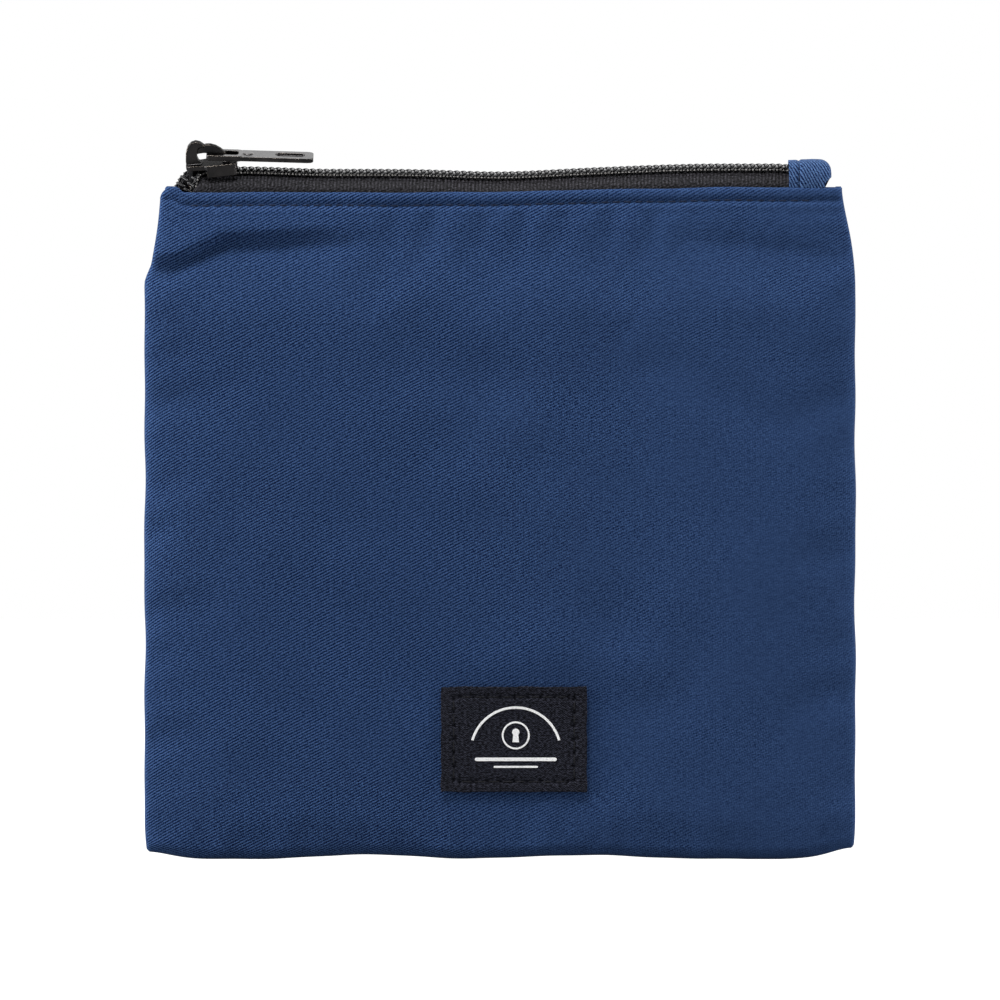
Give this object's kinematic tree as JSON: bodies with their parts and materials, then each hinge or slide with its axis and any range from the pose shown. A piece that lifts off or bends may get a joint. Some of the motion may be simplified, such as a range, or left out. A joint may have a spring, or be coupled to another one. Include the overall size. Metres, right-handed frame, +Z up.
{
  "type": "cash deposit bag",
  "caption": "Small near-square twill zip pouch for carrying bank deposits, with a coil zip, a swinging pull tab and a woven label.",
  "frame": {"origin": "middle of the bottom edge, in the plane where the front and rear panels are sewn together", "axes": "+X along the zip from the closed end to the end tab, +Y out of the rear panel, +Z up towards the zip; the front panel and its label face -Y"},
  "size_m": [0.16, 0.0122, 0.1623],
  "materials": {
    "navy_twill": "matt twill weave",
    "lining_cloth": "plain weave",
    "zip_tape": "ribbed knit",
    "zip_coil": "nylon monofilament",
    "coil_thread": "polyester thread",
    "navy_thread": "polyester thread",
    "label_ribbon": "ribbed ribbon",
    "gunmetal": "satin gunmetal plating"
  },
  "bodies": {
    "rear_half": {"rear_panel": "navy_twill", "rear_lining": "lining_cloth", "rear_zip_tape": "zip_tape", "rear_zip_coil": "zip_coil", "rear_coil_cord": "coil_thread", "rear_coil_thread": "coil_thread", "rear_top_stitch": "navy_thread", "left_side_seam": "navy_thread", "right_side_seam": "navy_thread", "bottom_seam": "navy_thread", "end_tab": "navy_twill", "end_tab_stitch": "navy_thread"},
    "front_half": {"front_panel": "navy_twill", "front_lining": "lining_cloth", "front_zip_tape": "zip_tape", "front_zip_coil": "zip_coil", "front_coil_cord": "coil_thread", "front_coil_thread": "coil_thread", "front_top_stitch": "navy_thread", "label": "label_ribbon", "label_stitch": "label_ribbon"},
    "slider": {"slider_body": "gunmetal"},
    "pull": {"pull_tab": "gunmetal"}
  },
  "joints": [
    {"name": "zip_slide", "type": "slide", "parent": "rear_half", "child": "slider", "axis": [1, 0, 0], "range_m": [0, 0.123], "deforming": ["front_zip_coil", "front_coil_cord", "front_coil_thread", "front_zip_tape", "rear_zip_coil", "rear_coil_cord", "rear_coil_thread", "rear_zip_tape"]},
    {"name": "mouth_open", "type": "hinge", "parent": "rear_half", "child": "front_half", "pos_m": [0, 0, 0], "axis": [1, 0, 0], "range_deg": [0, 12]},
    {"name": "pull_swing", "type": "hinge", "parent": "slider", "child": "pull", "pos_m": [-0.0656, -0.00145, 0.15861], "axis": [0, -0.9703, -0.2419], "range_deg": [0, 175]}
  ],
  "couplings": [
    {"joint": "mouth_open", "follows": "zip_slide", "rad_per_m": 1.7}
  ]
}
